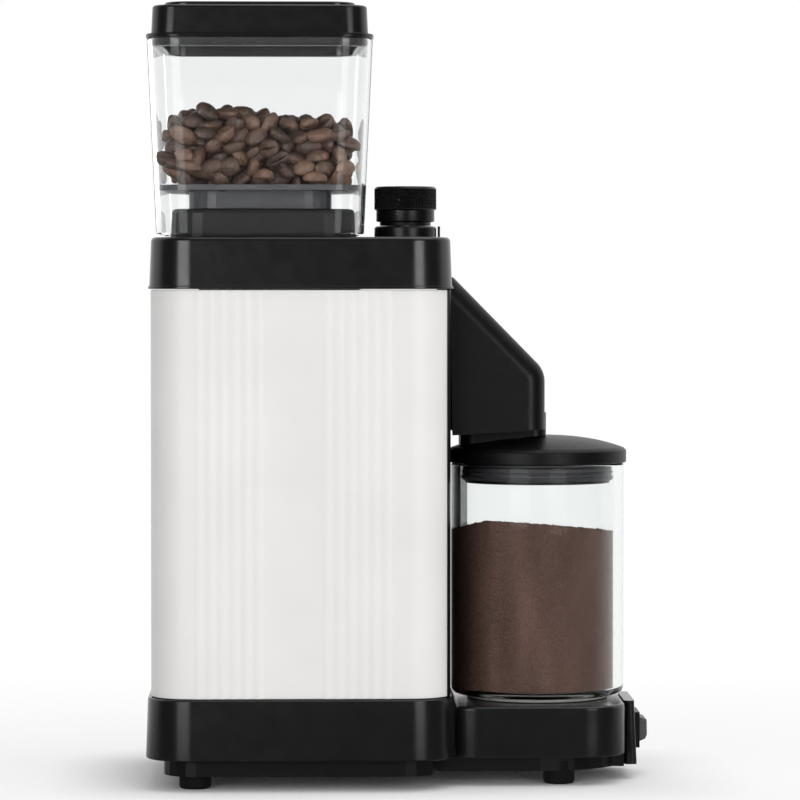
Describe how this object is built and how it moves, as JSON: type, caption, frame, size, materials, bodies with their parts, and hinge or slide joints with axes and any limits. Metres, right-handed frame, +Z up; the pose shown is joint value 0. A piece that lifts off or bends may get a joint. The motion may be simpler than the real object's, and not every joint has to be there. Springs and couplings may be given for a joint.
{
  "type": "burr coffee grinder",
  "caption": "Upright electric burr grinder for coffee: ribbed white tower, clear bean hopper on top, chute and glass catch jar on a front tray.",
  "frame": {"origin": "middle of the footprint, on the worktop under the feet", "axes": "+Z up, +X towards the jar and the switch, +Y to the left when facing along +X; the sides with the ribs face -Y and +Y"},
  "size_m": [0.2192, 0.1286, 0.338],
  "materials": {
    "white_enamel": "smooth gloss powder coat over embossed sheet",
    "gloss_black": "moulded, satin gloss",
    "matt_black": "moulded, fine spark texture",
    "dark_grey": "moulded, satin",
    "black_rubber": "matt",
    "grey_rubber": "soft satin",
    "black_anodised": "black anodised, knurled grip",
    "cast_aluminium": "die cast",
    "steel": "turned",
    "burr_steel": "ground and hardened",
    "nylon": "moulded, natural",
    "circuit_board": "solder mask",
    "clear_plastic": "polished clear copolyester",
    "clear_glass": "fire-polished soda glass"
  },
  "bodies": {
    "housing": {"body_shell": "white_enamel", "front_panel": "matt_black", "base_skirt": "gloss_black", "bottom_plate": "matt_black", "foot_rear_right": "black_rubber", "foot_rear_left": "black_rubber", "foot_front_right": "black_rubber", "foot_front_left": "black_rubber", "cord_gland": "black_rubber", "control_board": "circuit_board", "board_relay": "matt_black", "board_capacitor": "dark_grey", "tray": "gloss_black", "jar_pad": "black_rubber", "front_plate": "gloss_black", "switch_case": "matt_black", "switch_bezel": "matt_black", "top_cap": "gloss_black", "hopper_seat": "gloss_black", "knob_collar": "black_anodised", "grind_pointer": "gloss_black", "burr_housing": "cast_aluminium", "motor_can": "steel", "motor_stator": "dark_grey", "upper_bearing": "steel", "lower_bearing": "steel", "motor_end_cap": "cast_aluminium", "motor_plate": "steel", "frame_post_rear_right": "steel", "frame_post_rear_left": "steel", "frame_post_front_right": "steel", "frame_post_front_left": "steel", "chute_housing": "matt_black", "chute_outlet": "matt_black"},
    "hopper_assembly": {"hopper": "clear_plastic", "hopper_floor": "dark_grey"},
    "lid_assembly": {"hopper_lid": "gloss_black", "lid_gasket": "grey_rubber"},
    "knob_assembly": {"knob": "black_anodised", "knob_spindle": "steel", "knob_pinion": "nylon"},
    "ring_gear": {"adjusting_ring": "nylon"},
    "burr_carriage": {"upper_burr_carrier": "cast_aluminium", "upper_burr": "burr_steel"},
    "rotor": {"motor_shaft": "steel", "rotor_core": "steel", "cooling_fan": "nylon", "grinding_disc": "cast_aluminium", "lower_burr": "burr_steel", "burr_nut": "steel"},
    "jar_assembly": {"jar": "clear_glass", "jar_lid": "matt_black", "jar_seal": "grey_rubber"},
    "rocker": {"switch_rocker": "grey_rubber"}
  },
  "joints": [
    {"name": "hopper_lift", "type": "slide", "parent": "housing", "child": "hopper_assembly", "axis": [0, 0, 1], "range_m": [0, 0.05]},
    {"name": "hopper_lid_lift", "type": "slide", "parent": "hopper_assembly", "child": "lid_assembly", "axis": [0, 0, 1], "range_m": [0, 0.03]},
    {"name": "knob_turn", "type": "hinge", "parent": "housing", "child": "knob_assembly", "pos_m": [0.00313, 0, 0.25], "axis": [0, 0, 1], "range_deg": [-150, 150]},
    {"name": "adjusting_ring_turn", "type": "hinge", "parent": "housing", "child": "ring_gear", "pos_m": [-0.05237, 0, 0.2252], "axis": [0, 0, 1], "range_deg": [-48.3, 48.3]},
    {"name": "burr_carriage_slide", "type": "slide", "parent": "housing", "child": "burr_carriage", "axis": [0, 0, 1], "range_m": [-0.00021, 0.00021]},
    {"name": "rotor_spin", "type": "hinge", "parent": "housing", "child": "rotor", "pos_m": [-0.05237, 0, 0.15], "axis": [0, 0, 1], "continuous": true},
    {"name": "jar_slide", "type": "slide", "parent": "housing", "child": "jar_assembly", "axis": [1, 0, 0], "range_m": [0, 0.09]},
    {"name": "switch_rock", "type": "hinge", "parent": "housing", "child": "rocker", "pos_m": [0.10553, 0, 0.0206], "axis": [0, -1, 0], "range_deg": [0, 22]}
  ],
  "couplings": [
    {"joint": "adjusting_ring_turn", "follows": "knob_turn", "ratio": -0.32143},
    {"joint": "burr_carriage_slide", "follows": "knob_turn", "m_per_rad": 0.000076734}
  ]
}
